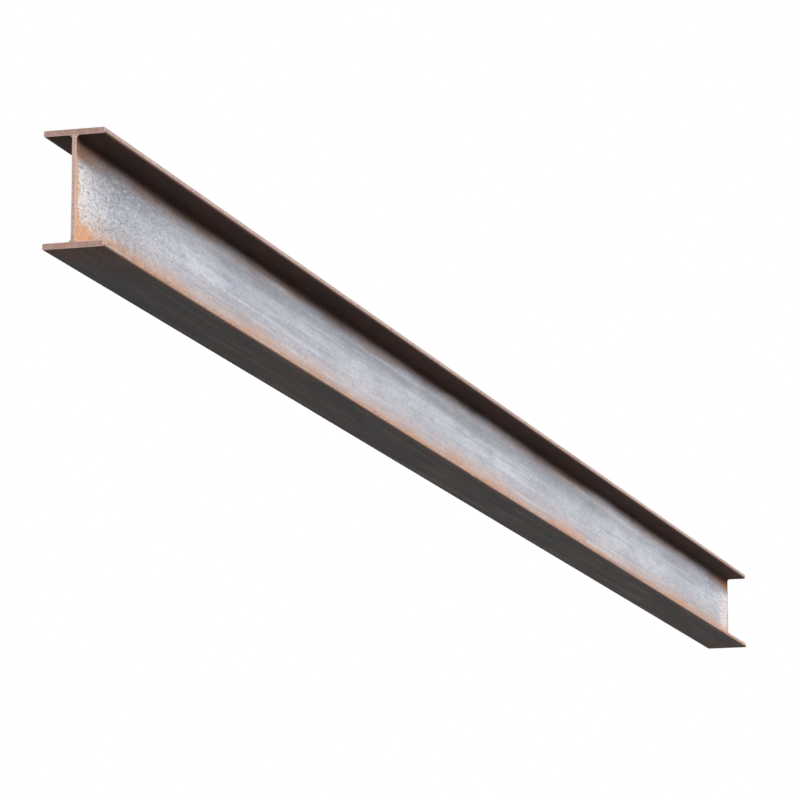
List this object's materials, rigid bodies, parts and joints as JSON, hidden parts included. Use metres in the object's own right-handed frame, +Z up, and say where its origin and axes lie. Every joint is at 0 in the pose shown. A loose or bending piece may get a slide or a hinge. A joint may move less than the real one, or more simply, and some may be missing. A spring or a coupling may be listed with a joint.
{
  "type": "steel h-beam",
  "caption": "Straight hot-rolled steel H-beam with parallel flanges, rounded root fillets and sawn square ends, for frames, lintels and supports.",
  "frame": {"origin": "on the ground under the middle of the bar, which lies on its lower flange", "axes": "+X along the bar, +Y across the flanges, +Z up along the web"},
  "size_m": [3, 0.064, 0.12],
  "materials": {
    "rolled_steel": "hot-rolled: blue-grey mill scale on the web, orange and brown rust along the roots, flanges and sawn ends"
  },
  "bodies": {
    "root": {"h_beam": "rolled_steel"}
  },
  "joints": []
}
